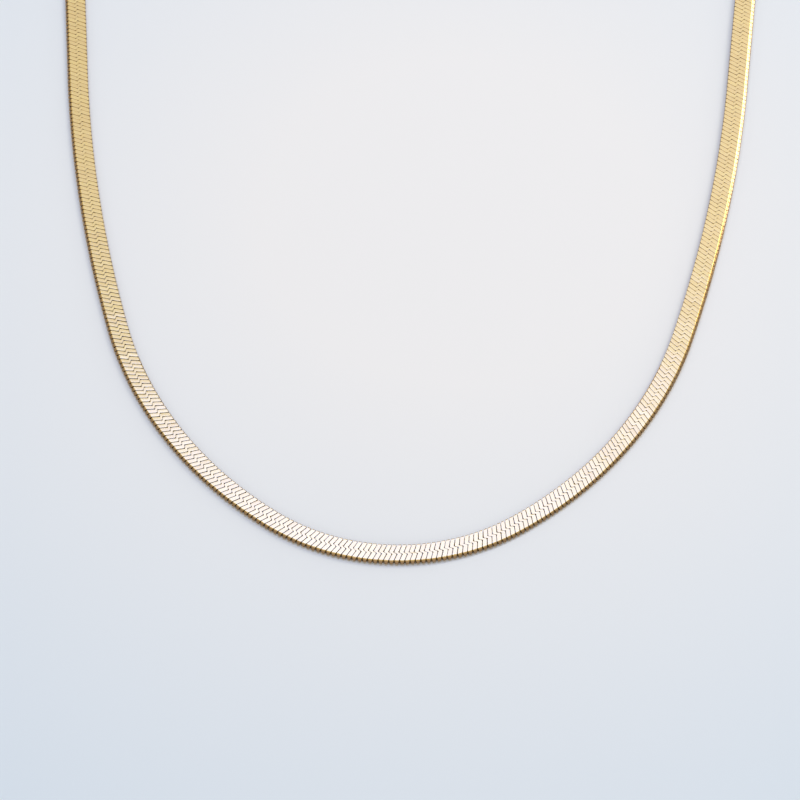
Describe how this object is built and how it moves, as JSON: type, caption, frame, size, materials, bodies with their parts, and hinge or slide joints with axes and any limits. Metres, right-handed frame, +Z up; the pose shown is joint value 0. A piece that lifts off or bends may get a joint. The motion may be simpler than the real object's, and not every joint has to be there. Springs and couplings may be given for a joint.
{
  "type": "flat snake chain necklace",
  "caption": "Closed neck chain made of a flat, tightly woven metal band with end caps, jump rings and a lobster clasp, lying on a surface.",
  "frame": {"origin": "on the surface that the necklace lies on, below the middle of its box", "axes": "+Z up from the surface, +Y from the front of the loop to the clasp, +X to the right seen from above with the clasp at the back"},
  "size_m": [0.1128, 0.1718, 0.0046],
  "materials": {
    "gold_band": "pale yellow gold, links lapped flat and polished, darker seams between them",
    "gold_cap": "pale yellow gold, polished",
    "gold_wire": "pale yellow gold, polished wire",
    "gold_clasp": "pale yellow gold, polished casting"
  },
  "bodies": {
    "root": {"chain": "gold_band", "end_cap_left": "gold_cap", "end_cap_right": "gold_cap", "ring_left": "gold_wire", "ring_right": "gold_wire", "clasp": "gold_clasp"}
  },
  "joints": []
}
